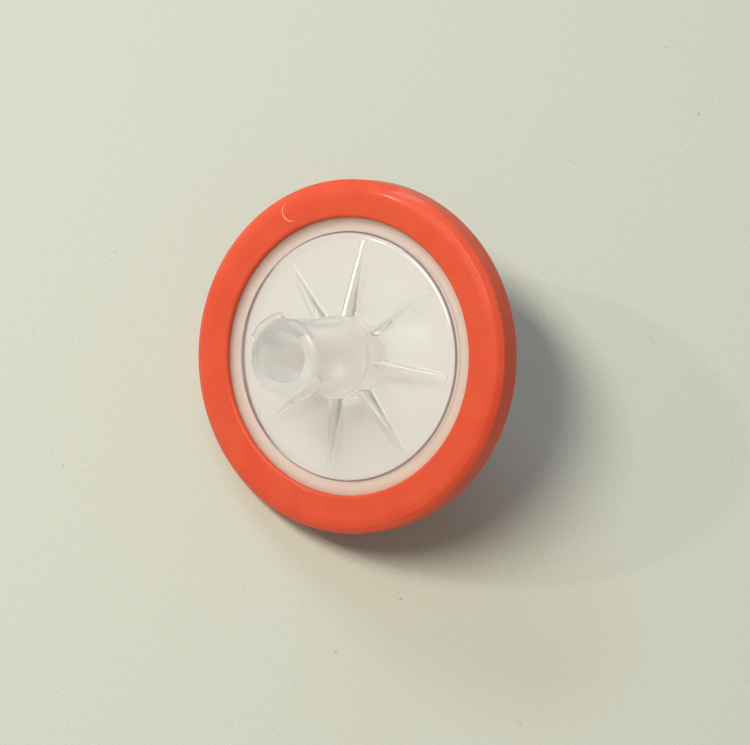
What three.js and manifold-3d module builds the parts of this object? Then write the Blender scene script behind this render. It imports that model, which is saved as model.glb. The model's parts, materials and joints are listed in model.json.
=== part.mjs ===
// Disc syringe filter with an overmoulded ring, lying on its rim and its outlet nozzle.
//
// Two clear mouldings, the inlet and the outlet housing, clamp a disc of membrane between
// their flanges, and a coloured ring is moulded round both flanges to hold and seal them.
// The inlet has a female lock hub for a syringe, the outlet a plain male taper nozzle.
//
// Units are millimetres. Every piece is drawn in the filter's own frame: Z is the filter's
// axis, the middle of the membrane is Z = 0, and a housing is drawn with its outside up.
// Outlines are half sections, with X as the radius and Y as the height along the axis.
import * as THREE from 'three';
import { mergeVertices } from 'three/addons/utils/BufferGeometryUtils.js';
import Module from 'manifold-3d';

const wasm = await Module();
wasm.setup();

// ---- Fit ----
const fit = 0.03; // clearance between pieces that bear on each other

// ---- Membrane ----
const membraneRadius = 12.6;
const membraneThickness = 0.16;

// ---- Both housings: clamped land, flange, ledge and raised window ----
const landWidth = 1.5; // radial width of the clamped edge of the membrane
const skirtClearance = 0.25; // room for the membrane's edge inside the inlet's skirt
const skirtWall = 0.8; // radial wall outside the membrane
const flangeThickness = 1.05; // from the land to the ledge
const rabbetDepth = 0.3; // step in the flange that keys the ring
const rabbetWidth = 1.3;
const ledgeWidth = 1.28; // from the ring's inner edge in to the window
const windowRaise = 0.35; // window above the ledge
const windowEdgeRound = 0.28;
const collarEdgeRound = 0.35;
const collarFillet = 0.25;

// ---- Fins on both windows ----
const finCount = 8;
const finSetback = 0.55; // from the window's edge in to the fin's outer end
const finEndHeight = 0.1;
const finEndThickness = 0.3;
const finHubThickness = 0.85;
const finDraft = 0.09; // lean of each side, for each millimetre of height
const rootDepth = 0.4; // reach of fins and lugs into the wall that carries them

// ---- Overmoulded ring ----
const ringWall = 1.79; // radial wall outside the flange
const ringLipReach = 0.22; // reach of the ring's lip over the ledge, past the rabbet
const ringLip = 0.45; // ring's flat face above the ledge
const ringMouthRound = 0.32;
const ringShoulderWidth = 0.55; // from the flat face out to the side wall
const ringShoulderDrop = 0.6;
const ringShoulderSweep = THREE.MathUtils.degToRad(62); // arc of the shoulder from the side wall

// ---- Inlet housing: flow chamber, hub, taper bore and locking lugs ----
const inletClocking = THREE.MathUtils.degToRad(90.3); // turn of the first lug about the axis
const chamberDepth = 0.32; // flow space over the membrane
const inletCollarRadius = 3.65;
const inletCollarHeight = 2.1;
const inletFinHeight = 1.85;
const hubLength = 10.75; // above the window
const hubRadius = 3.35;
const hubWaist = 0.1; // radius lost at mid length
const hubEdgeRound = 0.55;
const boreMouthRadius = 2.15;
const boreLeadIn = 0.2;
const boreDepth = 9;
const inletDrillRadius = 0.9;
const lugCount = 2;
const lugRadius = 3.9;
const lugAngle = THREE.MathUtils.degToRad(55);
const lugThickness = 0.85;
const lugRamp = 0.3; // rise of the lug's underside from one end to the other
const lugChamfer = 0.14;
const lugSetback = 0.5; // from the hub's end face down to the lug

// ---- Outlet housing: membrane support, drain and nozzle ----
const supportDepth = 0.4; // depth of the grooves under the membrane
const supportRingCount = 4;
const supportRingWidth = 0.8;
const drainWellRadius = 2.2;
const channelCount = 8;
const channelWidth = 0.8;
const outletCollarRadius = 3.3;
const outletCollarHeight = 1.7;
const outletFinHeight = 1.5;
const nozzleLength = 9.55; // beyond the window
const nozzleTipRadius = 1.98;
const nozzleTipRound = 0.25;
const nozzleBoreRadius = 1.15;

// ---- Both tapers ----
const taperSlope = 0.03; // change of radius for each millimetre of length

// ---- Facets ----
const ringSegments = 72;
const housingSegments = 56;
const arcSteps = 2; // a quarter round has twice as many

// ---- Heights and radii that the pieces share ----
const land = membraneThickness / 2 + fit;
const ledge = land + flangeThickness;
const windowFace = ledge + windowRaise;
const ringFace = ledge + ringLip;
const chamberRadius = membraneRadius - landWidth;
const skirtRadius = membraneRadius + skirtClearance;
const flangeRadius = skirtRadius + skirtWall;
const rabbetRadius = flangeRadius - rabbetWidth;
const ringOuterRadius = flangeRadius + fit + ringWall;
const ringMouthRadius = rabbetRadius - ringLipReach;
const windowRadius = ringMouthRadius - ledgeWidth;
const finEndRadius = windowRadius - finSetback;
const hubEnd = windowFace + hubLength;
const nozzleEnd = windowFace + nozzleLength;
const nozzleRootRadius = nozzleTipRadius + taperSlope * (nozzleLength - outletCollarHeight);

// ---- From geometry to solids and named pieces ----

// A closed geometry as a solid that can be joined and cut.
function solidOf(geometry) {
  const bare = geometry.clone();
  bare.deleteAttribute('normal');
  bare.deleteAttribute('uv');
  const merged = mergeVertices(bare, 1e-5);
  return new wasm.Manifold(new wasm.Mesh({
    numProp: 3,
    vertProperties: new Float32Array(merged.attributes.position.array),
    triVerts: new Uint32Array(merged.index.array),
  }));
}

// The skin of a solid as a named mesh with its own finish.
function pieceOf(name, solid, finish) {
  const { vertProperties, triVerts } = solid.getMesh();
  const geometry = new THREE.BufferGeometry();
  geometry.setAttribute('position', new THREE.BufferAttribute(vertProperties, 3));
  geometry.setIndex(new THREE.BufferAttribute(triVerts, 1));
  geometry.computeVertexNormals();
  const mesh = new THREE.Mesh(geometry, new THREE.MeshStandardMaterial(finish));
  mesh.name = name;
  return mesh;
}

// A closed outline turned about Z, with the middle of a facet towards -X.
function turned(points, segments) {
  const geometry = new THREE.LatheGeometry(points, segments, Math.PI / segments);
  return solidOf(geometry.rotateX(Math.PI / 2));
}

// Copies of a geometry joined to a solid, evenly round the axis from a first angle.
function withCopiesRound(solid, geometry, count, firstAngle) {
  let joined = solid;
  for (let i = 0; i < count; i += 1) {
    const copy = geometry.clone().rotateZ(firstAngle + 2 * Math.PI * i / count);
    joined = joined.add(solidOf(copy));
  }
  return joined;
}

// ---- What both housings share ----

// The round of an outside edge, where an outline that runs up turns towards the axis.
function roundInwards(outline, radius, height, round) {
  outline.lineTo(radius, height - round);
  outline.absarc(radius - round, height - round, round, 0, Math.PI / 2, false);
}

// The outside of the flange and window, from the flange's edge in to the top of the collar.
function addWindowSide(outline, collarRadius, collarHeight) {
  outline.lineTo(flangeRadius, ledge - rabbetDepth);
  outline.lineTo(rabbetRadius, ledge - rabbetDepth);
  outline.lineTo(rabbetRadius, ledge);
  outline.lineTo(windowRadius, ledge);
  roundInwards(outline, windowRadius, windowFace, windowEdgeRound);
  outline.lineTo(collarRadius + collarFillet, windowFace);
  outline.absarc(collarRadius + collarFillet, windowFace + collarFillet, collarFillet,
    -Math.PI / 2, -Math.PI, true);
  roundInwards(outline, collarRadius, windowFace + collarHeight, collarEdgeRound);
}

// One fin along +X. It falls in a straight line from the hub to the rim, it is thicker where
// it is taller, and its sides lean inwards, so that the moulding leaves its tool.
function finGeometry(carrierRadius, hubHeight) {
  const innerRadius = carrierRadius - rootDepth;
  const foot = -windowRaise / 2;
  const side = new THREE.Shape([
    new THREE.Vector2(innerRadius, foot),
    new THREE.Vector2(finEndRadius, foot),
    new THREE.Vector2(finEndRadius, finEndHeight),
    new THREE.Vector2(innerRadius, hubHeight),
  ]);
  const geometry = new THREE.ExtrudeGeometry(side, { depth: 1, bevelEnabled: false });
  geometry.translate(0, 0, -0.5);
  geometry.rotateX(Math.PI / 2);
  const position = geometry.attributes.position;
  for (let i = 0; i < position.count; i += 1) {
    const share = (finEndRadius - position.getX(i)) / (finEndRadius - innerRadius);
    const footThickness = THREE.MathUtils.lerp(finEndThickness, finHubThickness, share);
    const thickness = footThickness - 2 * finDraft * Math.max(position.getZ(i), 0);
    position.setY(i, position.getY(i) * thickness);
  }
  return geometry.translate(0, 0, windowFace);
}

// ---- Inlet housing ----

function inletOutline() {
  const ceiling = land + chamberDepth;
  const skirtEnd = fit - land;
  const boreFloor = hubEnd - boreDepth;
  const boreFloorRadius = boreMouthRadius - taperSlope * boreDepth;
  const outline = new THREE.Path();
  outline.moveTo(inletDrillRadius, ceiling);
  outline.lineTo(chamberRadius - chamberDepth, ceiling);
  outline.lineTo(chamberRadius, land);
  outline.lineTo(skirtRadius, land);
  outline.lineTo(skirtRadius, skirtEnd);
  outline.lineTo(flangeRadius, skirtEnd);
  addWindowSide(outline, inletCollarRadius, inletCollarHeight);
  outline.lineTo(hubRadius, windowFace + inletCollarHeight);
  outline.quadraticCurveTo(
    hubRadius - 2 * hubWaist, windowFace + (inletCollarHeight + hubLength) / 2,
    hubRadius, hubEnd - hubEdgeRound);
  roundInwards(outline, hubRadius, hubEnd, hubEdgeRound);
  outline.lineTo(boreMouthRadius + boreLeadIn, hubEnd);
  outline.lineTo(boreMouthRadius, hubEnd - boreLeadIn);
  outline.lineTo(boreFloorRadius, boreFloor);
  outline.lineTo(inletDrillRadius, boreFloor - (boreFloorRadius - inletDrillRadius) / 2);
  outline.closePath();
  return outline;
}

// One locking lug, centred on +X: a sector that stands out from the hub's end, with broken
// edges and an underside that rises along its length to draw a syringe's collar down.
function lugGeometry() {
  const halfAngle = lugAngle / 2 - lugChamfer / lugRadius;
  const innerRadius = hubRadius - rootDepth;
  const crestRadius = lugRadius - lugChamfer;
  const sector = new THREE.Shape();
  sector.absarc(0, 0, crestRadius, -halfAngle, halfAngle, false);
  sector.absarc(0, 0, innerRadius, halfAngle, -halfAngle, true);
  const geometry = new THREE.ExtrudeGeometry(sector, {
    depth: lugThickness - 2 * lugChamfer,
    bevelThickness: lugChamfer,
    bevelSize: lugChamfer,
    bevelSegments: 1,
    curveSegments: 2 * arcSteps,
  });
  const position = geometry.attributes.position;
  for (let i = 0; i < position.count; i += 1) {
    const angle = Math.atan2(position.getY(i), position.getX(i));
    const below = 1 - (position.getZ(i) + lugChamfer) / lugThickness;
    const rise = lugRamp * (angle / lugAngle + 0.5);
    position.setZ(i, position.getZ(i) + rise * below);
  }
  return geometry.translate(0, 0, hubEnd - lugSetback - lugThickness + lugChamfer);
}

function inletHousing() {
  const body = turned(inletOutline().getPoints(arcSteps), housingSegments);
  const finned = withCopiesRound(body, finGeometry(hubRadius, inletFinHeight), finCount, 0);
  const lugged = withCopiesRound(finned, lugGeometry(), lugCount, 0);
  const piece = pieceOf('inlet_housing', lugged,
    { color: 0xe4e0d6, roughness: 0.28, metalness: 0 });
  piece.rotation.z = inletClocking;
  return piece;
}

// ---- Outlet housing ----

function outletOutline() {
  const grooveFloor = land + supportDepth;
  const ringPitch = (chamberRadius - drainWellRadius) / supportRingCount;
  const outline = new THREE.Path();
  outline.moveTo(nozzleBoreRadius, grooveFloor);
  for (let i = 0; i < supportRingCount; i += 1) {
    const supportRadius = drainWellRadius + i * ringPitch;
    outline.lineTo(supportRadius, grooveFloor);
    outline.lineTo(supportRadius, land);
    outline.lineTo(supportRadius + supportRingWidth, land);
    outline.lineTo(supportRadius + supportRingWidth, grooveFloor);
  }
  outline.lineTo(chamberRadius, grooveFloor);
  outline.lineTo(chamberRadius, land);
  outline.lineTo(flangeRadius, land);
  addWindowSide(outline, outletCollarRadius, outletCollarHeight);
  outline.lineTo(nozzleRootRadius, windowFace + outletCollarHeight);
  roundInwards(outline, nozzleTipRadius, nozzleEnd, nozzleTipRound);
  outline.lineTo(nozzleBoreRadius, nozzleEnd);
  outline.closePath();
  return outline;
}

// One channel along +X that crosses the support rings and leads to the drain well.
function channelGeometry() {
  const length = chamberRadius - drainWellRadius / 2;
  const channel = new THREE.BoxGeometry(length, channelWidth, supportDepth);
  return channel.translate(chamberRadius - length / 2, 0, land + supportDepth / 2);
}

function outletHousing() {
  let body = turned(outletOutline().getPoints(arcSteps), housingSegments);
  for (let i = 0; i < channelCount; i += 1) {
    const channel = channelGeometry().rotateZ(2 * Math.PI * i / channelCount);
    body = body.subtract(solidOf(channel));
  }
  const fin = finGeometry(nozzleRootRadius, outletFinHeight);
  const finned = withCopiesRound(body, fin, finCount, Math.PI / finCount);
  const piece = pieceOf('outlet_housing', finned,
    { color: 0xe0dcd2, roughness: 0.3, metalness: 0 });
  piece.rotation.x = Math.PI;
  return piece;
}

// ---- Membrane ----

function membrane() {
  const disc = new THREE.CylinderGeometry(
    membraneRadius, membraneRadius, membraneThickness, housingSegments);
  return pieceOf('membrane', solidOf(disc.rotateX(Math.PI / 2)),
    { color: 0xf4f3ee, roughness: 0.9, metalness: 0 });
}

// ---- Overmoulded ring ----

// Half of the ring's C section, from its side wall over its face and into its groove.
function ringHalfSection() {
  const points = [];
  const steps = 2 * arcSteps;
  for (let i = 0; i <= steps; i += 1) {
    const across = (1 - Math.cos(ringShoulderSweep * i / steps)) / (1 - Math.cos(ringShoulderSweep));
    const up = Math.sin(ringShoulderSweep * i / steps) / Math.sin(ringShoulderSweep);
    points.push(new THREE.Vector2(
      ringOuterRadius - ringShoulderWidth * across,
      ringFace - ringShoulderDrop * (1 - up)));
  }
  const mouth = new THREE.Path();
  mouth.absarc(ringMouthRadius + ringMouthRound, ringFace - ringMouthRound, ringMouthRound,
    Math.PI / 2, Math.PI, false);
  points.push(...mouth.getPoints(arcSteps));
  points.push(new THREE.Vector2(ringMouthRadius, ledge + fit));
  points.push(new THREE.Vector2(rabbetRadius + fit, ledge + fit));
  points.push(new THREE.Vector2(rabbetRadius + fit, ledge - rabbetDepth + fit));
  points.push(new THREE.Vector2(flangeRadius + fit, ledge - rabbetDepth + fit));
  return points;
}

function overmouldRing() {
  const upper = ringHalfSection();
  const lower = upper.map((point) => new THREE.Vector2(point.x, -point.y)).reverse();
  return pieceOf('overmould_ring', turned([...upper, ...lower, upper[0]], ringSegments),
    { color: 0xf2501f, roughness: 0.36, metalness: 0 });
}

// ---- Assembly ----

// The lean of the axis when the ring and the nozzle's tip both touch the table: the line in
// half section that has every point of both on one side of it. A facet lies nearer to the
// axis than its corners, and both touch with the middle of a facet.
function restingLean() {
  const ringReach = Math.cos(Math.PI / ringSegments);
  const tipReach = Math.cos(Math.PI / housingSegments);
  const tip = new THREE.Path();
  tip.moveTo(nozzleTipRadius, nozzleEnd - nozzleTipRound);
  roundInwards(tip, nozzleTipRadius, nozzleEnd, nozzleTipRound);
  const rim = ringHalfSection();
  const slopes = tip.getPoints(arcSteps).map((low) => Math.min(...rim.map((high) => (
    (low.y - high.y) / (high.x * ringReach - low.x * tipReach)))));
  return Math.atan(Math.max(...slopes));
}

const filter = new THREE.Group();
filter.add(inletHousing(), outletHousing(), membrane(), overmouldRing());
filter.rotation.y = -restingLean();

// The object stands on Z = 0, with the middle of its box over the origin.
const syringeFilter = new THREE.Group();
syringeFilter.add(filter);
syringeFilter.updateMatrixWorld(true);
const extent = new THREE.Box3().setFromObject(syringeFilter, true);
const middle = extent.getCenter(new THREE.Vector3());
filter.position.set(-middle.x, -middle.y, -extent.min.z);

export default syringeFilter;
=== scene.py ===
# %% [markdown]
# # A disc syringe filter, dressed in Blender
#
# The real part is four pieces of plastic. Two clear mouldings clamp a white membrane between
# them, and an orange ring is moulded round their edges to hold them together. It lies on a
# table the way such a filter always comes to rest: on the edge of its ring and on the tip of
# the nozzle underneath, so that the disc leans and the hub points off to one side.
#
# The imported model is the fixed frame. It says where everything is, and nothing is moved here.
# What Blender adds is the surface: smooth rounds in place of facets, moulded fillets, clear
# and coloured plastic, paper under it and soft light.

# %% Load the frame
import json
import math

import bmesh
import bpy
from mathutils import Matrix, Vector


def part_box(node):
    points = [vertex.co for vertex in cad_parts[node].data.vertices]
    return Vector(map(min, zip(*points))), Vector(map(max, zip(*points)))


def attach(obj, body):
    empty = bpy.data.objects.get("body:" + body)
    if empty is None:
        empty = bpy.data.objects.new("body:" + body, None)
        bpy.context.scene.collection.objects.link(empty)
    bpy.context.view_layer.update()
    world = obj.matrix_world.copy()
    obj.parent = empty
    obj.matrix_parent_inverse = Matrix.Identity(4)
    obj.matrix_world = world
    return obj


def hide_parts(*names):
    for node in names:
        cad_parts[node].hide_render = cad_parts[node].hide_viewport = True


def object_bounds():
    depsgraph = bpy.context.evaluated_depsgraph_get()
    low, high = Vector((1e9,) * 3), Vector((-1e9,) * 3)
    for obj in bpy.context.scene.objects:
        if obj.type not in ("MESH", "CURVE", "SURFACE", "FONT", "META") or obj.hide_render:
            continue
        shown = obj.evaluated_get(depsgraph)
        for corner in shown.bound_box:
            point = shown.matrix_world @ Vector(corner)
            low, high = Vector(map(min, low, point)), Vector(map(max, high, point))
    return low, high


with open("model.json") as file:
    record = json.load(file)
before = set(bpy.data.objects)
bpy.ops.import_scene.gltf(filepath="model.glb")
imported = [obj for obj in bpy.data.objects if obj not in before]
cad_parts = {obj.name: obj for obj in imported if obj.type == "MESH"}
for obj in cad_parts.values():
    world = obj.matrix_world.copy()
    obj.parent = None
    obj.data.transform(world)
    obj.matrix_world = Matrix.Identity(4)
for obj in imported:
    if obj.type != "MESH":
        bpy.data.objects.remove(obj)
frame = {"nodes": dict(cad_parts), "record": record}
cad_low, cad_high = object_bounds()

print("CAD box in mm:", [round(1000 * (b - a), 2) for a, b in zip(cad_low, cad_high)])

# %% [markdown]
# ## Finding the filter's own axis
#
# Every piece is a turned shape round one leaning axis, so it pays to work in the filter's own
# frame, where that axis is Z. We could copy the lean as a number, but the record already has
# it: each mount gives the outward direction of an end face. The membrane is a plain disc, so
# the middle of its box is a point on the axis. Those two facts fix the whole placement.

# %% The filter's placement
mounts = {mount["name"]: mount for mount in frame["record"]["mounts"]}
axis = Vector(mounts["inlet_hub_face"]["axis"]).normalized()
membrane_low, membrane_high = (Vector(corner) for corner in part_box("membrane"))
membrane_middle = (membrane_low + membrane_high) / 2
lean = math.atan2(-axis.x, axis.z)
placement = Matrix.Translation(membrane_middle) @ Matrix.Rotation(-lean, 4, "Y")
print("lean in degrees:", round(math.degrees(lean), 2))
print("membrane's middle in mm:", [round(1000 * c, 3) for c in membrane_middle])

# %% [markdown]
# ## Sizes that the pieces share
#
# Sizes are written in millimetres, because that is how mouldings are drawn, and the finished
# meshes are scaled to metres once. The stack starts at the membrane and works outwards: each
# land, flange and window is built on the one before, and every radius starts at the
# membrane's edge. They are the same sizes that the CAD pieces have.

# %% Shared sizes in millimetres
MM = 0.001
fit = 0.03
membrane_radius, membrane_thickness = 12.6, 0.16

land = membrane_thickness / 2 + fit
ledge = land + 1.05
window_face = ledge + 0.35
ring_face = ledge + 0.45

chamber_radius = membrane_radius - 1.5
skirt_radius = membrane_radius + 0.25
flange_radius = skirt_radius + 0.8
rabbet_radius, rabbet_depth = flange_radius - 1.3, 0.3
ring_radius = flange_radius + fit + 1.79
ring_mouth_radius = rabbet_radius - 0.22
window_radius = ring_mouth_radius - 1.28
taper_slope = 0.03
print("ring", round(ring_radius, 2), "mm, window", round(window_radius, 2), "mm in radius")

# %% [markdown]
# ## Camera
#
# The camera looks steeply down from about 40 cm. Both the disc's lean and the camera's turn
# its circle into an ellipse. A long lens keeps the perspective weak. The camera is rolled so
# that the disc leans to the left of the picture: its up direction is nearly square to the
# filter's axis. The part lies a little left of the middle, so the aim has an offset.

# %% Camera
camera_distance = 0.40
camera_azimuth, camera_elevation = math.radians(-121.3), math.radians(71.2)
view_width = 0.06544
camera_roll = math.radians(-1.1)
aim_right, aim_up = 0.00236, -0.00140
sensor_width = 36.0

window_middle = placement @ Vector((0, 0, ledge * MM))
view_back = Vector((
    math.cos(camera_elevation) * math.cos(camera_azimuth),
    math.cos(camera_elevation) * math.sin(camera_azimuth),
    math.sin(camera_elevation),
))
view_up = Matrix.Rotation(camera_roll, 3, view_back) @ axis.cross(view_back).normalized()
view_right = view_up.cross(view_back)
camera_data = bpy.data.cameras.new("camera")
camera_data.sensor_width = sensor_width
camera_data.lens = sensor_width * camera_distance / view_width
camera_data.clip_start = 0.01
camera = bpy.data.objects.new("camera", camera_data)
stand = (window_middle + view_right * aim_right + view_up * aim_up
         + view_back * camera_distance)
camera.matrix_world = (Matrix.Translation(stand)
                       @ Matrix((view_right, view_up, view_back)).transposed().to_4x4())
bpy.context.scene.collection.objects.link(camera)
bpy.context.scene.camera = camera
print("lens in mm:", round(camera_data.lens, 1))
print("angle between the view and the filter's axis in degrees:",
      round(math.degrees(view_back.angle(axis)), 1))

# %% [markdown]
# ## From outlines to turned bodies
#
# A turned piece can be made with the Screw modifier or the Spin tool. Here a few lines of
# bmesh do it directly: each point of a half section becomes a ring of vertices, and rings are
# joined by quads. The section runs anticlockwise, out along the bottom, up the outside and
# back over the top, so that the faces point out from the start.

# %% Rounds, fillets and turned bodies
def arc(centre_x, centre_y, radius, start, end, steps=8):
    """Points on a round, from one angle to another in degrees."""
    angles = [math.radians(start + (end - start) * i / steps) for i in range(steps + 1)]
    return [(centre_x + radius * math.cos(a), centre_y + radius * math.sin(a)) for a in angles]


def outer_round(radius, height, size):
    """The round of an outside edge, where an outline that runs up turns towards the axis."""
    return arc(radius - size, height - size, size, 0, 90)


def inner_fillet(radius, height, size):
    """The fillet at the foot of a wall that stands on a face, from the face up to the wall."""
    return arc(radius + size, height + size, size, 270, 180)


def turned(outline, segments=180):
    """A closed half section in millimetres turned about Z."""
    body = bmesh.new()
    rings = []
    for step in range(segments):
        angle = 2 * math.pi * step / segments
        rings.append([
            body.verts.new((r * math.cos(angle), r * math.sin(angle), h)) for r, h in outline
        ])
    for step in range(segments):
        here, there = rings[step], rings[(step + 1) % segments]
        for i in range(len(outline)):
            j = (i + 1) % len(outline)
            body.faces.new((here[i], there[i], there[j], here[j]))
    return body


print("a quarter round has", len(arc(0, 0, 1, 0, 90)), "points")

# %% [markdown]
# ## The side that both housings share
#
# Seen from outside, both housings have the same edge: a flange that the ring grips, a narrow
# ledge, and a window that stands a little proud of it. The crisp dark line round the window
# is that small step seen through clear plastic, so its foot gets its own tiny fillet, and the
# clear plastic's tint adds a painted shade line over it. The window's edge is a quarter of an
# oval, not of a circle: it falls away over more than half a millimetre, and that slow turn is
# what spreads the lamp into a broad white arc.

# %% Window side of a housing
window_edge_width, window_edge_drop, window_foot_fillet = 0.6, 0.28, 0.07
collar_edge_round, collar_fillet = 0.35, 0.25


def window_side(collar_radius, collar_height):
    """Half section from the flange's edge in to the top of the collar."""
    points = [
        (flange_radius, ledge - rabbet_depth),
        (rabbet_radius, ledge - rabbet_depth),
        (rabbet_radius, ledge),
    ]
    points += inner_fillet(window_radius, ledge, window_foot_fillet)
    points += [(window_radius - window_edge_width * (1 - across),
                window_face - window_edge_drop * (1 - up)) for across, up in arc(0, 0, 1, 0, 90)]
    points += inner_fillet(collar_radius, window_face, collar_fillet)
    points += outer_round(collar_radius, window_face + collar_height, collar_edge_round)
    return points


print("the window stands", round(window_face - ledge, 2), "mm above the ledge")

# %% [markdown]
# ## Fins
#
# Eight fins stiffen each window. A fin is tall at the hub and dies out at the rim. Its sides
# lean in so that it leaves the mould, its crest is slightly round, and its root flares into
# the window. That section changes all the way along, so a fin is lofted: the same number of
# points at every station, joined into a skin. A plain wedge would be quicker, but the thin
# bright lines along a real fin come from exactly these small rounds.

# %% Skin over a row of sections
def add_skin(body, sections):
    """Closed skin over a row of sections, each with the same number of points."""
    rows = [[body.verts.new(point) for point in section] for section in sections]
    for here, there in zip(rows, rows[1:]):
        for i in range(len(here)):
            j = (i + 1) % len(here)
            body.faces.new((here[i], there[i], there[j], here[j]))
    body.faces.new(list(reversed(rows[0])))
    body.faces.new(rows[-1])


# %% Lofted fins
fin_count = 8
fin_end_radius, fin_end_height, fin_end_thickness = window_radius - 0.55, 0.1, 0.3
fin_hub_thickness, fin_draft = 0.85, 0.09
fin_crest_round, fin_root_flare = 0.1, 0.16
fin_sink = 0.05  # below the window's face, so that the joint has no gap
root_depth = 0.4  # reach of fins and lugs into the wall that carries them


def fin_half_section(thickness, height):
    """Half of a fin's section, from below the window over the root flare to the crest."""
    flare = min(fin_root_flare, height / 2)
    crest = min(fin_crest_round, height / 3, thickness / 4)
    half_foot = thickness / 2
    half_top = half_foot - fin_draft * height
    root = arc(half_foot + flare, flare, flare, 270, 180, 4)
    top = arc(half_top - crest, height - crest, crest, 0, 90, 4)
    return [(half_foot + flare, -fin_sink)] + root + top


def add_fins(body, carrier_radius, hub_height, first_angle):
    """All the fins of one housing, lofted from the hub out to the rim."""
    inner_radius = carrier_radius - root_depth
    stations = 14
    for number in range(fin_count):
        turn = Matrix.Rotation(first_angle + 2 * math.pi * number / fin_count, 3, "Z")
        sections = []
        for i in range(stations + 1):
            share = 1 - i / stations
            radius = fin_end_radius + (inner_radius - fin_end_radius) * share
            thickness = fin_end_thickness + (fin_hub_thickness - fin_end_thickness) * share
            height = fin_end_height + (hub_height - fin_end_height) * share
            half = fin_half_section(thickness, height)
            whole = half + [(-y, z) for y, z in reversed(half)]
            sections.append([turn @ Vector((radius, y, window_face + z)) for y, z in whole])
        add_skin(body, sections)


print(fin_count, "fins reach out to", round(fin_end_radius, 2), "mm from the axis")

# %% [markdown]
# ## Joining and finishing a moulding
#
# A moulding is one skin with no walls inside it, and clear plastic shows every wall that is
# left inside by mistake. So fins and lugs aren't just pushed into the body: the Boolean
# modifier joins them, and its result is stored as the mesh. Edges sharper than 30 degrees are
# marked sharp, and the Weighted Normal modifier keeps the flat faces flat in the reflections.

# %% Joining with the Boolean modifier
def as_object(name, body):
    """A bmesh in millimetres as a linked object, for the Boolean modifier."""
    bmesh.ops.recalc_face_normals(body, faces=body.faces)
    mesh = bpy.data.meshes.new(name)
    body.to_mesh(mesh)
    body.free()
    made = bpy.data.objects.new(name, mesh)
    bpy.context.scene.collection.objects.link(made)
    return made


def combine(base, tool, operation):
    """Joins the tool to the base object, or cuts the base with it, and uses the tool up."""
    modifier = base.modifiers.new(operation, "BOOLEAN")
    modifier.operation = operation
    modifier.solver = "EXACT"
    modifier.object = tool
    seen = base.evaluated_get(bpy.context.evaluated_depsgraph_get())
    result = bpy.data.meshes.new_from_object(seen)
    base.modifiers.clear()
    base.data = result
    bpy.data.objects.remove(tool)
    print(operation.lower(), "gives", base.name, len(result.polygons), "faces")


# %% Finishing a piece
sharp_angle = math.radians(30)
weld_distance = 0.0005


def finish_piece(made, node, turn=Matrix.Identity(4)):
    """Gives a joined object its real size, smooth shading and place in the frame."""
    body = bmesh.new()
    body.from_mesh(made.data)
    bmesh.ops.remove_doubles(body, verts=body.verts, dist=weld_distance)
    bmesh.ops.dissolve_degenerate(body, edges=body.edges, dist=weld_distance)
    bmesh.ops.triangulate(body, faces=[f for f in body.faces if len(f.verts) > 4])
    for face in body.faces:
        face.smooth = True
    for edge in body.edges:
        edge.smooth = len(edge.link_faces) == 2 and edge.calc_face_angle(0) < sharp_angle
    open_edges = sum(len(edge.link_faces) != 2 for edge in body.edges)
    print(made.name, round(body.calc_volume(signed=True), 1), "mm3,", len(body.faces), "faces,",
          open_edges, "open edges")
    body.transform(placement @ turn @ Matrix.Scale(MM, 4))
    body.to_mesh(made.data)
    body.free()
    shading = made.modifiers.new("flat_faces_stay_flat", "WEIGHTED_NORMAL")
    shading.keep_sharp = True
    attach(made, "root")
    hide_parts(node)


# %% [markdown]
# ## Inlet housing
#
# The inlet is the piece that everybody sees: window, fins, a short collar and a hub with a
# tapered bore that a syringe's tip wedges into. Its half section is one closed outline, from
# the flow chamber under the window out to the flange, over the window and up the hub, and
# then down the bore.

# %% Inlet housing's half section
inlet_collar_radius, inlet_collar_height = 3.65, 2.1
hub_length, hub_radius, hub_waist, hub_edge_round = 10.75, 3.35, 0.1, 0.55
hub_foot_fillet = 0.2
hub_end = window_face + hub_length
bore_mouth_radius, bore_lead_in, bore_depth = 2.15, 0.2, 9.0
chamber_depth, inlet_drill_radius = 0.32, 0.9


def hub_side():
    """The side of the hub, with its slight waist, from the collar up to the end's round."""
    low, high = window_face + inlet_collar_height + hub_foot_fillet, hub_end - hub_edge_round
    steps = 12
    points = []
    for i in range(1, steps):
        share = i / steps
        points.append((hub_radius - 4 * share * (1 - share) * hub_waist,
                       low + (high - low) * share))
    return points


def inlet_outline():
    """Closed half section of the inlet housing, without fins and lugs."""
    ceiling = land + chamber_depth
    bore_floor = hub_end - bore_depth
    bore_floor_radius = bore_mouth_radius - taper_slope * bore_depth
    points = [
        (inlet_drill_radius, ceiling),
        (chamber_radius - chamber_depth, ceiling),
        (chamber_radius, land),
        (skirt_radius, land),
        (skirt_radius, fit - land),
        (flange_radius, fit - land),
    ]
    points += window_side(inlet_collar_radius, inlet_collar_height)[:-1]
    points += inner_fillet(hub_radius, window_face + inlet_collar_height, hub_foot_fillet)[1:]
    points += hub_side()
    points += outer_round(hub_radius, hub_end, hub_edge_round)
    points += arc(bore_mouth_radius + bore_lead_in, hub_end - bore_lead_in, bore_lead_in, 90, 180)
    points += [
        (bore_floor_radius, bore_floor),
        (inlet_drill_radius, bore_floor - (bore_floor_radius - inlet_drill_radius) / 2),
    ]
    return points


print("the inlet's half section has", len(inlet_outline()), "points")

# %% [markdown]
# ## Locking lugs
#
# The two lugs at the hub's end slide under the thread of a locking syringe and draw its collar
# down, so their undersides rise along their length. They are lofted like the fins, from one
# end of their arc to the other. The first and last sections shrink, which rounds the ends.

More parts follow.
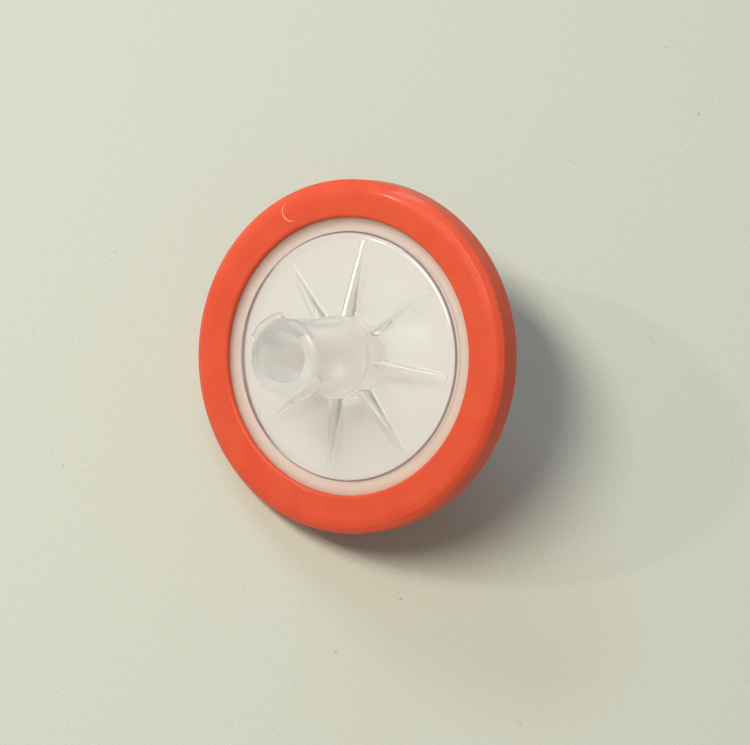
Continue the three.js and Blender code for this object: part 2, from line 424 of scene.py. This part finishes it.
# %% Lofted lugs
lug_count, lug_radius, lug_angle = 2, 3.9, math.radians(55)
lug_thickness, lug_ramp, lug_round, lug_setback = 0.85, 0.3, 0.14, 0.5


def add_lugs(body):
    """The locking lugs, each lofted along its arc."""
    stations = 20
    inner_radius = hub_radius - root_depth
    for number in range(lug_count):
        sections = []
        for i in range(stations + 1):
            share = i / stations
            from_end = min(share, 1 - share) * lug_angle * lug_radius
            shortfall = max(lug_round - from_end, 0)
            inset = lug_round - math.sqrt(lug_round**2 - shortfall**2)
            bottom = hub_end - lug_setback - lug_thickness + lug_ramp * share + inset
            top = hub_end - lug_setback - inset
            crest = lug_radius - inset
            section = [(inner_radius, bottom)]
            section += arc(crest - lug_round, bottom + lug_round, lug_round, 270, 360, 4)
            section += arc(crest - lug_round, top - lug_round, lug_round, 0, 90, 4)
            section += [(inner_radius, top)]
            angle = (share - 0.5) * lug_angle + 2 * math.pi * number / lug_count
            turn = Matrix.Rotation(angle, 3, "Z")
            sections.append([turn @ Vector((r, 0, h)) for r, h in section])
        add_skin(body, sections)


print(lug_count, "lugs measure", 2 * lug_radius, "mm across")

# %% The inlet housing
inlet_clocking = math.radians(90.3)
inlet_fin_height = 1.85

inlet = as_object("inlet_housing_moulding", turned(inlet_outline()))
inlet_extras = bmesh.new()
add_fins(inlet_extras, hub_radius, inlet_fin_height, 0)
add_lugs(inlet_extras)
combine(inlet, as_object("inlet_extras", inlet_extras), "UNION")
finish_piece(inlet, "inlet_housing",
             Matrix.Rotation(inlet_clocking, 4, "Z"))

# %% [markdown]
# ## Outlet housing
#
# The outlet sits underneath, drawn the same way and then turned over. Inside, concentric
# rings carry the membrane and eight radial channels lead the filtered liquid to the drain.
# The channels are cut with a Boolean, as if a cutter had milled them.

# %% Outlet housing's half section
outlet_collar_radius, outlet_collar_height = 3.3, 1.7
nozzle_length, nozzle_tip_radius, nozzle_tip_round, nozzle_bore_radius = 9.55, 1.98, 0.25, 1.15
nozzle_end = window_face + nozzle_length
nozzle_root_radius = nozzle_tip_radius + taper_slope * (nozzle_length - outlet_collar_height)
nozzle_root_fillet = 0.3
support_depth, support_ring_count, support_ring_width = 0.4, 4, 0.8
drain_well_radius = 2.2
outlet_segments = 160


def outlet_outline():
    """Closed half section of the outlet housing, drawn with its outside up."""
    groove_floor = land + support_depth
    pitch = (chamber_radius - drain_well_radius) / support_ring_count
    points = [(nozzle_bore_radius, groove_floor)]
    for i in range(support_ring_count):
        start = drain_well_radius + i * pitch
        end = start + support_ring_width
        points += [(start, groove_floor), (start, land), (end, land), (end, groove_floor)]
    points += [(chamber_radius, groove_floor), (chamber_radius, land), (flange_radius, land)]
    points += window_side(outlet_collar_radius, outlet_collar_height)
    points += inner_fillet(nozzle_root_radius, window_face + outlet_collar_height,
                           nozzle_root_fillet)
    points += outer_round(nozzle_tip_radius, nozzle_end, nozzle_tip_round)
    points += [(nozzle_bore_radius, nozzle_end)]
    return points


print("the outlet's half section has", len(outlet_outline()), "points")

# %% The outlet housing
channel_count, channel_width = 8, 0.8
outlet_fin_height = 1.5


def add_channels(body):
    """Boxes for the radial channels, from the drain well out to the edge of the chamber."""
    start = drain_well_radius / 2
    length = chamber_radius - start
    for number in range(channel_count):
        box = bmesh.ops.create_cube(body, size=1)["verts"]
        bmesh.ops.scale(body, vec=(length, channel_width, support_depth), verts=box)
        bmesh.ops.translate(
            body, vec=(start + length / 2, 0, land + support_depth / 2), verts=box)
        turn = Matrix.Rotation(2 * math.pi * number / channel_count, 3, "Z")
        bmesh.ops.rotate(body, matrix=turn, verts=box)


outlet = as_object("outlet_housing_moulding", turned(outlet_outline(), outlet_segments))
channels = bmesh.new()
add_channels(channels)
combine(outlet, as_object("channels", channels), "DIFFERENCE")
outlet_fins = bmesh.new()
add_fins(outlet_fins, nozzle_root_radius, outlet_fin_height, math.pi / fin_count)
combine(outlet, as_object("outlet_fins", outlet_fins), "UNION")
finish_piece(outlet, "outlet_housing", Matrix.Rotation(math.pi, 4, "X"))

# %% [markdown]
# ## Overmoulded ring
#
# The ring is one C-shaped section turned round the axis. Its upper side is flat near the mouth
# and falls away in a gentle band that ends in a faint ridge, with a steep shoulder outside it.
# The band is where the glow lies and the ridge is where the thin highlight runs, so the slope
# is given at a few places and added up into an outline. The hidden lower side keeps a plain
# rounded shoulder. An ejector pin left a shallow round witness on the upper side. It is a real
# dent, so it is cut, not painted, and part of its edge has a hair of flash.

# %% The ring's half sections
ring_mouth_round = 0.32
lip_bite = 0.01  # the lip sinks this far into the ledge, so that no gap shows
ring_slopes = [(1.3, 0), (0.95, 14), (0.55, 15.5), (0.5, 34), (0.12, 40), (0, 50)]
ring_shoulder_width, ring_shoulder_drop = 0.55, 0.6
ring_shoulder_sweep = math.radians(62)
ring_segments = 240


def crowned_shoulder(steps=5):
    """Points from the flat face out to the side wall. The slopes are in degrees, each at a
    distance in from the wall."""
    points, drop = [], 0
    for (here, slope), (there, next_slope) in zip(ring_slopes, ring_slopes[1:]):
        for i in range(steps):
            points.append((ring_radius - here + (here - there) * i / steps, ring_face - drop))
            steepness = math.radians(slope + (next_slope - slope) * (i + 0.5) / steps)
            drop += (here - there) / steps * math.tan(steepness)
    points.append((ring_radius, ring_face - drop))
    return points


def rounded_shoulder(steps=14):
    """Points from the flat face out to the side wall over one plain round."""
    points = []
    for i in range(steps + 1):
        angle = ring_shoulder_sweep * i / steps
        across = (1 - math.cos(angle)) / (1 - math.cos(ring_shoulder_sweep))
        up = math.sin(angle) / math.sin(ring_shoulder_sweep)
        points.append((ring_radius - ring_shoulder_width * across,
                       ring_face - ring_shoulder_drop * (1 - up)))
    return list(reversed(points))


def ring_half(shoulder):
    """From the side wall over the face, down the mouth and into the groove."""
    points = list(reversed(shoulder))
    points += arc(ring_mouth_radius + ring_mouth_round, ring_face - ring_mouth_round,
                  ring_mouth_round, 90, 180)
    points += [
        (ring_mouth_radius, ledge - lip_bite),
        (rabbet_radius + fit, ledge - lip_bite),
        (rabbet_radius + fit, ledge - rabbet_depth + fit),
        (flange_radius + fit, ledge - rabbet_depth + fit),
    ]
    return points


print("the ring's upper side falls", round(ring_face - crowned_shoulder()[-1][1], 2), "mm")

# %% The ring with its ejector witness
witness_radius, witness_depth = 0.95, 0.045
witness_angle, witness_reach = math.radians(78.3), 13.9
witness_x = witness_reach * math.cos(witness_angle)
witness_y = witness_reach * math.sin(witness_angle)
cutter_height, cutter_sides = 1, 48

upper, lower = ring_half(crowned_shoulder()), ring_half(rounded_shoulder())
ring = as_object("overmould_ring_moulding",
                 turned(upper + [(r, -h) for r, h in reversed(lower)], ring_segments))
witness = bmesh.new()
bmesh.ops.create_cone(
    witness, cap_ends=True, segments=cutter_sides, radius1=witness_radius - witness_depth,
    radius2=witness_radius - witness_depth + cutter_height, depth=cutter_height)
bmesh.ops.translate(
    witness, verts=witness.verts,
    vec=(witness_x, witness_y, ring_face - witness_depth + cutter_height / 2))
combine(ring, as_object("witness", witness), "DIFFERENCE")

# %% A hair of flash on the witness's edge
flash_thickness, flash_sink = 0.07, 0.015
flash_stations, flash_sides = 25, 12
flash_start, flash_end = math.radians(106.5), math.radians(251.5)


def face_height(radius):
    """The height of the ring's upper side at a radius."""
    points = crowned_shoulder()
    for (r, h), (next_r, next_h) in zip(points, points[1:]):
        if r <= radius < next_r:
            return h + (next_h - h) * (radius - r) / (next_r - r)
    return ring_face


flash_sections = []
for station in range(flash_stations):
    angle = flash_start + (flash_end - flash_start) * station / (flash_stations - 1)
    thickness = flash_thickness * math.sin(math.pi * (station + 0.5) / flash_stations) ** 0.5
    surface = face_height(math.hypot(witness_x + witness_radius * math.cos(angle),
                                     witness_y + witness_radius * math.sin(angle)))
    flash_sections.append([
        (witness_x + r * math.cos(angle), witness_y + r * math.sin(angle), h)
        for r, h in arc(witness_radius, surface - flash_sink, thickness,
                        0, 360 - 360 / flash_sides, flash_sides - 1)])
flash = bmesh.new()
add_skin(flash, flash_sections)
combine(ring, as_object("flash", flash), "UNION")
finish_piece(ring, "overmould_ring")

# %% [markdown]
# ## Node groups for moulded plastic
#
# All the mouldings share two surface effects. The skin of a moulding is never perfectly even:
# it carries the soft ripple of the tool's polish, and its gloss drifts. And a part that has
# been handled picks up a few specks of dust. Each effect is a node group, built once, with
# named inputs, so that each plastic can ask for its own amount. A third group is only a ruler:
# it measures the distance from the filter's axis, which the clear plastic's tint follows. The
# groups put out only values and masks, and the shader stays in the material.

# %% Helpers for node groups
def new_group(name, inputs, outputs):
    """A shader node group with named number inputs and outputs, and its two end nodes."""
    group = bpy.data.node_groups.new(name, "ShaderNodeTree")
    for label, value in inputs.items():
        socket = group.interface.new_socket(
            label, in_out="INPUT", socket_type="NodeSocketFloat")
        socket.default_value = value
    for label in outputs:
        group.interface.new_socket(label, in_out="OUTPUT", socket_type="NodeSocketFloat")
    return group, group.nodes.new("NodeGroupInput"), group.nodes.new("NodeGroupOutput")


def add_node(tree, kind, settings=None, **values):
    """A new node with some settings, and values for some of its input sockets."""
    node = tree.nodes.new("ShaderNode" + kind)
    for name, value in (settings or {}).items():
        setattr(node, name, value)
    for name, value in values.items():
        node.inputs[name.replace("_", " ")].default_value = value
    return node


def millimetres(tree):
    """Object coordinates in millimetres, so that a texture's scale is in features a millimetre."""
    coordinates = add_node(tree, "TexCoord")
    scaled = add_node(tree, "VectorMath", {"operation": "SCALE"}, Scale=1000)
    tree.links.new(coordinates.outputs["Object"], scaled.inputs[0])
    return scaled.outputs["Vector"]


# %% Distance from the filter's axis
filter_place, _, place_out = new_group("filter place", {}, ["Radius"])
in_filter = add_node(filter_place, "Mapping", {"vector_type": "TEXTURE"},
                     Location=membrane_middle, Rotation=(0, -lean, 0), Scale=(MM, MM, MM))
level = add_node(filter_place, "VectorMath", {"operation": "MULTIPLY"})
level.inputs[1].default_value = (1, 1, 0)
from_axis = add_node(filter_place, "VectorMath", {"operation": "LENGTH"})
wire = filter_place.links.new
wire(add_node(filter_place, "TexCoord").outputs["Object"], in_filter.inputs["Vector"])
wire(in_filter.outputs["Vector"], level.inputs[0])
wire(level.outputs["Vector"], from_axis.inputs[0])
wire(from_axis.outputs["Value"], place_out.inputs["Radius"])
print("filter place:", [socket.name for socket in filter_place.interface.items_tree])

# %% Moulded skin
moulded_skin, skin_in, skin_out = new_group(
    "moulded skin",
    {"Ripples per mm": 0.6, "Roughness": 0.3, "Gloss drift": 0.08, "Grain": 0.3},
    ["Roughness", "Height"])
skin_place = millimetres(moulded_skin)
ripple = add_node(moulded_skin, "TexNoise", Detail=2.0)
grain = add_node(moulded_skin, "TexNoise", Scale=14.0, Detail=3.0)
drift = add_node(moulded_skin, "MapRange", {"clamp": False})
grain_share = add_node(moulded_skin, "Math", {"operation": "MULTIPLY"})
height = add_node(moulded_skin, "Math", {"operation": "ADD"})
low_gloss = add_node(moulded_skin, "Math", {"operation": "SUBTRACT"})
high_gloss = add_node(moulded_skin, "Math", {"operation": "ADD"})
wire = moulded_skin.links.new
wire(skin_place, ripple.inputs["Vector"])
wire(skin_place, grain.inputs["Vector"])
wire(skin_in.outputs["Ripples per mm"], ripple.inputs["Scale"])
wire(skin_in.outputs["Roughness"], low_gloss.inputs[0])
wire(skin_in.outputs["Gloss drift"], low_gloss.inputs[1])
wire(skin_in.outputs["Roughness"], high_gloss.inputs[0])
wire(skin_in.outputs["Gloss drift"], high_gloss.inputs[1])
wire(ripple.outputs["Fac"], drift.inputs["Value"])
wire(low_gloss.outputs["Value"], drift.inputs["To Min"])
wire(high_gloss.outputs["Value"], drift.inputs["To Max"])
wire(drift.outputs["Result"], skin_out.inputs["Roughness"])
wire(grain.outputs["Fac"], grain_share.inputs[0])
wire(skin_in.outputs["Grain"], grain_share.inputs[1])
wire(ripple.outputs["Fac"], height.inputs[0])
wire(grain_share.outputs["Value"], height.inputs[1])
wire(height.outputs["Value"], skin_out.inputs["Height"])
print("moulded skin:", [socket.name for socket in moulded_skin.interface.items_tree])

# %% Dust
dust, dust_in, dust_out = new_group(
    "dust", {"Specks per mm": 0.5, "Speck size": 0.06, "Strength": 0.5}, ["Mask"])
dust_place = millimetres(dust)
cells = add_node(dust, "TexVoronoi")
near = add_node(dust, "Math", {"operation": "LESS_THAN"})
patches = add_node(dust, "TexNoise", Scale=0.35, Detail=1.0)
patchy = add_node(dust, "MapRange")
patchy.inputs["From Min"].default_value = 0.52
patchy.inputs["From Max"].default_value = 0.62
both = add_node(dust, "Math", {"operation": "MULTIPLY"})
faded = add_node(dust, "Math", {"operation": "MULTIPLY"})
wire = dust.links.new
wire(dust_place, cells.inputs["Vector"])
wire(dust_place, patches.inputs["Vector"])
wire(dust_in.outputs["Specks per mm"], cells.inputs["Scale"])
wire(cells.outputs["Distance"], near.inputs[0])
wire(dust_in.outputs["Speck size"], near.inputs[1])
wire(patches.outputs["Fac"], patchy.inputs["Value"])
wire(near.outputs["Value"], both.inputs[0])
wire(patchy.outputs["Result"], both.inputs[1])
wire(both.outputs["Value"], faded.inputs[0])
wire(dust_in.outputs["Strength"], faded.inputs[1])
wire(faded.outputs["Value"], dust_out.inputs["Mask"])
print("dust:", [socket.name for socket in dust.interface.items_tree])

# %% Helpers for materials
def new_material(name):
    """A material with its node tree and its Principled shader."""
    material = bpy.data.materials.new(name)
    material.use_nodes = True
    return material, material.node_tree, material.node_tree.nodes["Principled BSDF"]


def use_group(tree, group, **values):
    """A node group placed in a material, with that material's own values."""
    node = tree.nodes.new("ShaderNodeGroup")
    node.node_tree = group
    for name, value in values.items():
        node.inputs[name.replace("_", " ")].default_value = value
    return node


def add_bump(tree, shader, height, strength, distance):
    """A Bump node from a height socket to the shader's Normal. The distance is in metres."""
    bump = add_node(tree, "Bump", Strength=strength, Distance=distance)
    tree.links.new(height, bump.inputs["Height"])
    tree.links.new(bump.outputs["Normal"], shader.inputs["Normal"])


def two_tone(tree, pattern, spread, deep, bright):
    """A colour that drifts between two tones as a pattern does. The spread is the part of the
    pattern's range, round its middle, over which it drifts."""
    ramp = add_node(tree, "ValToRGB")
    low, high = ramp.color_ramp.elements
    low.position, low.color = 0.5 - spread / 2, deep
    high.position, high.color = 0.5 + spread / 2, bright
    tree.links.new(pattern, ramp.inputs["Fac"])
    return ramp.outputs["Color"]


def dusted(tree, colour, mask, dust_colour):
    """A colour with specks of dust over it."""
    over = add_node(tree, "Mix", {"data_type": "RGBA"})
    over.inputs["B"].default_value = dust_colour
    tree.links.new(mask, over.inputs["Factor"])
    tree.links.new(colour, over.inputs["A"])
    return over.outputs["Result"]


def matt_roughness(tree, shader, pattern):
    """A dull roughness that drifts a little as a pattern does."""
    matt = add_node(tree, "MapRange")
    matt.inputs["To Min"].default_value = 0.8
    matt.inputs["To Max"].default_value = 0.95
    tree.links.new(pattern, matt.inputs["Value"])
    tree.links.new(matt.outputs["Result"], shader.inputs["Roughness"])


print("node groups:", [group.name for group in bpy.data.node_groups])

# %% [markdown]
# ## Orange ring plastic
#
# The overmould is a tough coloured plastic with a satin skin. It isn't quite opaque: light
# that enters at an edge comes out warm and a little yellower, which is why the rounds of the
# ring glow. Subsurface scattering does that. It reaches about two millimetres in red and a
# tenth of that in blue, and it takes only part of the colour, because a ring that is all
# scattering turns flat and dull. The hair of flash round the witness is real, but its paler
# mix of the same plastic is a painted glow, standing for the light that fills so thin a sheet.

# %% Orange plastic
def orange_plastic(name, deep, bright):
    """The ring's satin plastic, mottled between two colours."""
    material, tree, shader = new_material(name)
    shader.inputs["Subsurface Weight"].default_value = 0.4
    shader.inputs["Subsurface Radius"].default_value = (1.0, 0.25, 0.1)
    shader.inputs["Subsurface Scale"].default_value = 2.0 * MM
    shader.inputs["Specular IOR Level"].default_value = 0.15
    shader.inputs["Coat Weight"].default_value = 0.15
    shader.inputs["Coat Roughness"].default_value = 0.1
    skin = use_group(tree, moulded_skin, Roughness=0.45, Grain=0.25)
    specks = use_group(tree, dust, Strength=0.35)
    mottle = add_node(tree, "TexNoise", Scale=0.45, Detail=3.0)
    pigment = two_tone(tree, mottle.outputs["Fac"], 0.3, deep, bright)
    wire = tree.links.new
    wire(millimetres(tree), mottle.inputs["Vector"])
    wire(dusted(tree, pigment, specks.outputs["Mask"], (0.8, 0.55, 0.42, 1)),
         shader.inputs["Base Color"])
    wire(skin.outputs["Roughness"], shader.inputs["Roughness"])
    add_bump(tree, shader, skin.outputs["Height"], 0.35, 0.02 * MM)
    return material


# %% Orange on the ring and its flash
flash_reach, flash_rise = 1.2 * flash_thickness, 0.005
ring.data.materials.clear()
ring.data.materials.append(
    orange_plastic("orange ring plastic", (0.76, 0.092, 0.039, 1), (0.80, 0.106, 0.045, 1)))
# The flash's paler orange is a painted glow of light through the thin sheet.
ring.data.materials.append(
    orange_plastic("orange flash painted glow", (0.93, 0.34, 0.20, 1), (0.95, 0.40, 0.25, 1)))
to_filter = placement.inverted()
flash_faces = 0
for face in ring.data.polygons:
    centre = to_filter @ face.center / MM
    from_edge = abs((centre.xy - Vector((witness_x, witness_y))).length - witness_radius)
    if from_edge < flash_reach and centre.z > face_height(centre.xy.length) + flash_rise:
        face.material_index = 1
        flash_faces += 1
print("the ring has", flash_faces, "faces of flash")

# %% [markdown]
# ## Clear housing plastic
#
# The housings are natural polypropylene or a like resin: clear when thin, milky when thick,
# and soft in every reflection. Pure glass would be too crisp and pure milk too dull, so the
# Principled shader mixes them: part of the light is refracted through a slightly rough
# surface, and the rest scatters as white inside the plastic.
#
# One mix can't serve the whole moulding, since a thin window and a thick hub look like two
# plastics. So each face takes one of five finishes, by where it lies. The window and its fins
# are the clearest. The ledge, over the flange, is more than half milk. The hub and collar are
# frosted, and they bend light far less than the real resin does: inside real resin the
# scattering smears the bore until it can hardly be seen, and a low refractive index behind a
# rough surface gives the same soft look without the noise of a thick cloud. The lugs bend
# light less still, and the wall of the bore hardly at all.
#
# A lamp's shadow rays can't bend through glass, and without them the membrane under the
# window would lie in the dark. So Light Path lets them straight through with a loss, which
# Layer Weight makes larger where they graze a wall: that is how a fin throws a faint shade.
# Rays that leave a matt surface go straight through as well, or the same light would reach
# the membrane twice.
#
# The tint follows the radius, through one colour ramp, and it is painted light. A painted pink
# glow on the ledge and the edge of the flange stands for the ring's orange light bleeding into
# them. A painted shade line round the window stands for the view that the steep step bends
# sideways into the flange.

# %% Clear plastic
# Painted light: a pink glow from the ring on the ledge and flange, a shade line at the step.
painted_ledge_glow, painted_step_shade = (0.96, 0.78, 0.71, 1), (0.20, 0.11, 0.12, 1)
painted_flange_glow = (0.95, 0.66, 0.57, 1)
ramp_reach = 1.0  # the ramp spans this much on each side of the window's edge
painted_line_half, painted_line_fade = 0.04, 0.08  # half the dark line's width, and its fade on each side


def clear_plastic(name, milk, frost, bend, body, loss, graze_loss):
    """Natural clear plastic. Milk is the scattered share of the light, frost the roughness, bend
    the refractive index, and the losses are what a straight ray loses at each surface."""
    material, tree, shader = new_material(name)
    shader.inputs["Transmission Weight"].default_value = 1 - milk
    shader.inputs["IOR"].default_value = bend
    shader.inputs["Subsurface Weight"].default_value = 1.0
    shader.inputs["Subsurface Radius"].default_value = (1.0, 0.9, 0.8)
    shader.inputs["Subsurface Scale"].default_value = 3.0 * MM
    shader.inputs["Coat Weight"].default_value = 0.5
    shader.inputs["Coat Roughness"].default_value = 0.09
    skin = use_group(tree, moulded_skin, Roughness=frost, Gloss_drift=0.03, Grain=0.1)
    specks = use_group(tree, dust, Strength=0.3)
    place = use_group(tree, filter_place)
    near_step = add_node(tree, "MapRange")
    near_step.inputs["From Min"].default_value = window_radius - ramp_reach
    near_step.inputs["From Max"].default_value = window_radius + ramp_reach
    # This ramp paints light by radius: a shade line at the step, orange glow beyond it.
    painted_glow_and_shade = add_node(tree, "ValToRGB")
    stops = painted_glow_and_shade.color_ramp.elements
    stops[0].position, stops[0].color = 0.5 - (painted_line_half + painted_line_fade) / 2 / ramp_reach, body
    stops[1].position, stops[1].color = 1.0, painted_flange_glow
    for out, colour in ((-painted_line_half, painted_step_shade), (painted_line_half, painted_step_shade),
                        (painted_line_half + painted_line_fade, painted_ledge_glow)):
        stops.new(0.5 + out / 2 / ramp_reach).color = colour
    path = add_node(tree, "LightPath")
    straight = add_node(tree, "Math", {"operation": "MAXIMUM"})
    graze = add_node(tree, "LayerWeight", Blend=0.35)
    shade = add_node(tree, "Mix", {"data_type": "RGBA"})
    shade.inputs["A"].default_value = (1 - loss, 1 - 1.1 * loss, 1 - 1.4 * loss, 1)
    shade.inputs["B"].default_value = (1 - graze_loss, 1 - 1.05 * graze_loss,
                                       1 - 1.1 * graze_loss, 1)
    passing = add_node(tree, "BsdfTransparent")
    either = add_node(tree, "MixShader")
    output = tree.nodes["Material Output"]
    wire = tree.links.new
    wire(place.outputs["Radius"], near_step.inputs["Value"])
    wire(near_step.outputs["Result"], painted_glow_and_shade.inputs["Fac"])
    wire(dusted(tree, painted_glow_and_shade.outputs["Color"], specks.outputs["Mask"], (0.78, 0.76, 0.72, 1)),
         shader.inputs["Base Color"])
    wire(skin.outputs["Roughness"], shader.inputs["Roughness"])
    wire(path.outputs["Is Shadow Ray"], straight.inputs[0])
    wire(path.outputs["Is Diffuse Ray"], straight.inputs[1])
    wire(graze.outputs["Facing"], shade.inputs["Factor"])
    wire(shade.outputs["Result"], passing.inputs["Color"])
    wire(straight.outputs["Value"], either.inputs["Fac"])
    wire(shader.outputs["BSDF"], either.inputs[1])
    wire(passing.outputs["BSDF"], either.inputs[2])
    wire(either.outputs["Shader"], output.inputs["Surface"])
    add_bump(tree, shader, skin.outputs["Height"], 0.15, 0.02 * MM)
    return material


# %% Five finishes: milk, frost, bend, body colour, loss and graze loss
finishes = {
    "clear": (0.12, 0.13, 1.37, (0.985, 0.98, 0.965, 1), 0.03, 0.5),
    "flange": (0.55, 0.3, 1.35, (0.985, 0.98, 0.965, 1), 0.03, 0.5),
    "milky": (0.14, 0.35, 1.19, (1, 0.98, 0.955, 1), 0.07, 0.48),
    "lug": (0.1, 0.5, 1.1, (0.99, 0.97, 0.95, 1), 0.03, 0.2),
    "bore": (0.0, 0.6, 1.02, (1, 1, 1, 1), 0.0, 0.0),
}
# How far, in millimetres, a face lies past an edge before it takes the next finish.
finish_margin, lug_margin, bore_margin = 0.02, 0.03, 0.1
collar_margin, lug_clear_height = 0.3, 0.5


def finish_at(height, radius, collar_radius, collar_height, bore_radius):
    """The finish of a face, from where it lies on its own side of the filter."""
    above = height - window_face
    if above < finish_margin:
        return "flange" if radius > window_radius + window_foot_fillet else "clear"
    if radius < bore_radius + bore_margin:
        return "bore"
    if above > collar_height + lug_clear_height and radius > hub_radius + lug_margin:
        return "lug"
    beside = radius > collar_radius + finish_margin
    on_fin = (beside and collar_fillet < above < collar_height
              or radius > collar_radius + collar_margin)
    return "clear" if on_fin else "milky"


# %% Dressing the housings
def dress_housing(piece, name, outward, *core):
    """Gives each face of one housing its own finish of the clear plastic."""
    piece.data.materials.clear()
    for finish, values in finishes.items():
        piece.data.materials.append(clear_plastic(name + " " + finish + " plastic", *values))
    order = list(finishes)
    count = dict.fromkeys(finishes, 0)
    for face in piece.data.polygons:
        centre = to_filter @ face.center / MM
        finish = finish_at(outward * centre.z, centre.xy.length, *core)
        face.material_index = order.index(finish)
        count[finish] += 1
    print(name, "faces by finish:", count)


dress_housing(inlet, "inlet", 1, inlet_collar_radius, inlet_collar_height,
              bore_mouth_radius)
dress_housing(outlet, "outlet", -1, outlet_collar_radius, outlet_collar_height,
              nozzle_bore_radius)

# %% [markdown]
# ## Membrane
#
# The membrane is a sheet of cast polymer foam with pores far too small to see. What shows is
# a dead matt white with a slight cloudiness. The CAD disc is already the right shape, so it
# stays, and only gets this material.

# %% Membrane white
white, white_tree, white_shader = new_material("membrane white")
white_shader.inputs["Specular IOR Level"].default_value = 0.2
cloud_place = millimetres(white_tree)
cloud = add_node(white_tree, "TexNoise", Scale=0.8, Detail=4.0)
pores = add_node(white_tree, "TexNoise", Scale=25.0, Detail=2.0)
cloudy = two_tone(white_tree, cloud.outputs["Fac"], 0.4,
                  (0.89, 0.88, 0.82, 1), (0.92, 0.91, 0.85, 1))
wire = white_tree.links.new
wire(cloud_place, cloud.inputs["Vector"])
wire(cloud_place, pores.inputs["Vector"])
wire(cloudy, white_shader.inputs["Base Color"])
matt_roughness(white_tree, white_shader, pores.outputs["Fac"])
add_bump(white_tree, white_shader, pores.outputs["Fac"], 0.3, 0.01 * MM)
membrane = frame["nodes"]["membrane"]
for material_slot in membrane.material_slots:
    material_slot.material = white
print("membrane keeps its CAD shape and takes", white.name)

# %% [markdown]
# ## Paper floor
#
# The filter lies on pale paper with a breath of green in it. A floor needs little: a large
# sheet at the height where the part touches down, a fine grain, and a few specks. It takes
# the soft shadow, which tells the eye how high the disc's upper edge stands.

# %% Paper floor
paper, paper_tree, paper_shader = new_material("pale paper")
paper_shader.inputs["Specular IOR Level"].default_value = 0.15
paper_place = millimetres(paper_tree)
fibre = add_node(paper_tree, "TexNoise", Scale=3.5, Detail=5.0, Roughness=0.65)
fibrous = two_tone(paper_tree, fibre.outputs["Fac"], 0.4,
                   (0.605, 0.622, 0.523, 1), (0.675, 0.692, 0.582, 1))
paper_dust = use_group(paper_tree, dust, Specks_per_mm=0.35, Speck_size=0.05, Strength=0.5)
wire = paper_tree.links.new
wire(paper_place, fibre.inputs["Vector"])
wire(dusted(paper_tree, fibrous, paper_dust.outputs["Mask"], (0.32, 0.33, 0.28, 1)),
     paper_shader.inputs["Base Color"])
matt_roughness(paper_tree, paper_shader, fibre.outputs["Fac"])
add_bump(paper_tree, paper_shader, fibre.outputs["Fac"], 0.25, 0.05 * MM)

floor_half = 0.9
sheet_mesh = bpy.data.meshes.new("paper_floor")
sheet_mesh.from_pydata(
    [(x * floor_half, y * floor_half, cad_low[2]) for x, y in ((-1, -1), (1, -1), (1, 1), (-1, 1))],
    [], [(0, 1, 2, 3)])
sheet_mesh.materials.append(paper)
paper_floor = bpy.data.objects.new("paper_floor", sheet_mesh)
bpy.context.scene.collection.objects.link(paper_floor)
print("the paper lies at", cad_low[2], "m, where the filter touches down")

# %% [markdown]
# ## Light
#
# Three soft lamps and a pale room. The large lamp is a long oval, high up to the left and
# behind, and makes the wide soft shadow. A far window, cooler and lower, stands behind the
# filter and tints the shade. A small lamp, lower than the large one and on the same side, puts
# the crisp glints on the rounds.
# The levels are chosen so that paper renders at about the colour that it was given.
#
# The room has two faces. The camera, and a ray that has come through clear plastic, see a pale
# backdrop, so that the hub is as light as the paper behind it. All other rays find a dim
# fill, because a bright room would wash the shadow away. Light Path tells them apart.

# %% Lamps and room
def add_lamp(name, direction, distance, size, watts, colour, long_side=(0, 1, 0)):
    """An oval area lamp that faces the filter, with its longer size along a given direction."""
    lamp = bpy.data.lights.new(name, "AREA")
    lamp.shape = "ELLIPSE"
    lamp.size, lamp.size_y = size
    lamp.energy = watts
    lamp.color = colour
    holder = bpy.data.objects.new(name, lamp)
    away = Vector(direction).normalized()
    along = Vector(long_side)
    along = (along - away * along.dot(away)).normalized()
    holder.matrix_world = (Matrix.Translation(window_middle + away * distance)
                           @ Matrix((along, away.cross(along), away)).transposed().to_4x4())
    bpy.context.scene.collection.objects.link(holder)
    print(name, "stands", round(math.degrees(math.asin(away.z))), "degrees above the table")


add_lamp("large_lamp", (-0.268, 0.278, 0.922), 0.38, (0.215, 0.075), 1.10, (0.965, 0.94, 0.84),
         (-0.15, 0.97, -0.18))
add_lamp("far_window", (0.165, 0.798, 0.580), 0.50, (0.24, 0.08), 0.76, (0.45, 0.64, 0.92),
         (1, 0, 0))
add_lamp("small_lamp", (-0.534, 0.549, 0.643), 0.60, (0.028, 0.028), 0.35, (1.0, 0.96, 0.90))

room = bpy.data.worlds.new("pale room")
room.use_nodes = True
room_tree = room.node_tree
fill = room_tree.nodes["Background"]
fill.inputs["Color"].default_value = (1.0, 0.89, 0.88, 1)
fill.inputs["Strength"].default_value = 0.26
seen = add_node(room_tree, "Background", Color=(0.9, 0.93, 0.86, 1), Strength=0.75)
room_path = add_node(room_tree, "LightPath")
room_seen = add_node(room_tree, "Math", {"operation": "MAXIMUM"})
either_room = add_node(room_tree, "MixShader")
wire = room_tree.links.new
wire(room_path.outputs["Is Camera Ray"], room_seen.inputs[0])
wire(room_path.outputs["Is Transmission Ray"], room_seen.inputs[1])
wire(room_seen.outputs["Value"], either_room.inputs["Fac"])
wire(fill.outputs["Background"], either_room.inputs[1])
wire(seen.outputs["Background"], either_room.inputs[2])
wire(either_room.outputs["Shader"], room_tree.nodes["World Output"].inputs["Surface"])
room.cycles.sampling_method = "NONE"
bpy.context.scene.world = room
bpy.context.scene.view_settings.view_transform = "Standard"
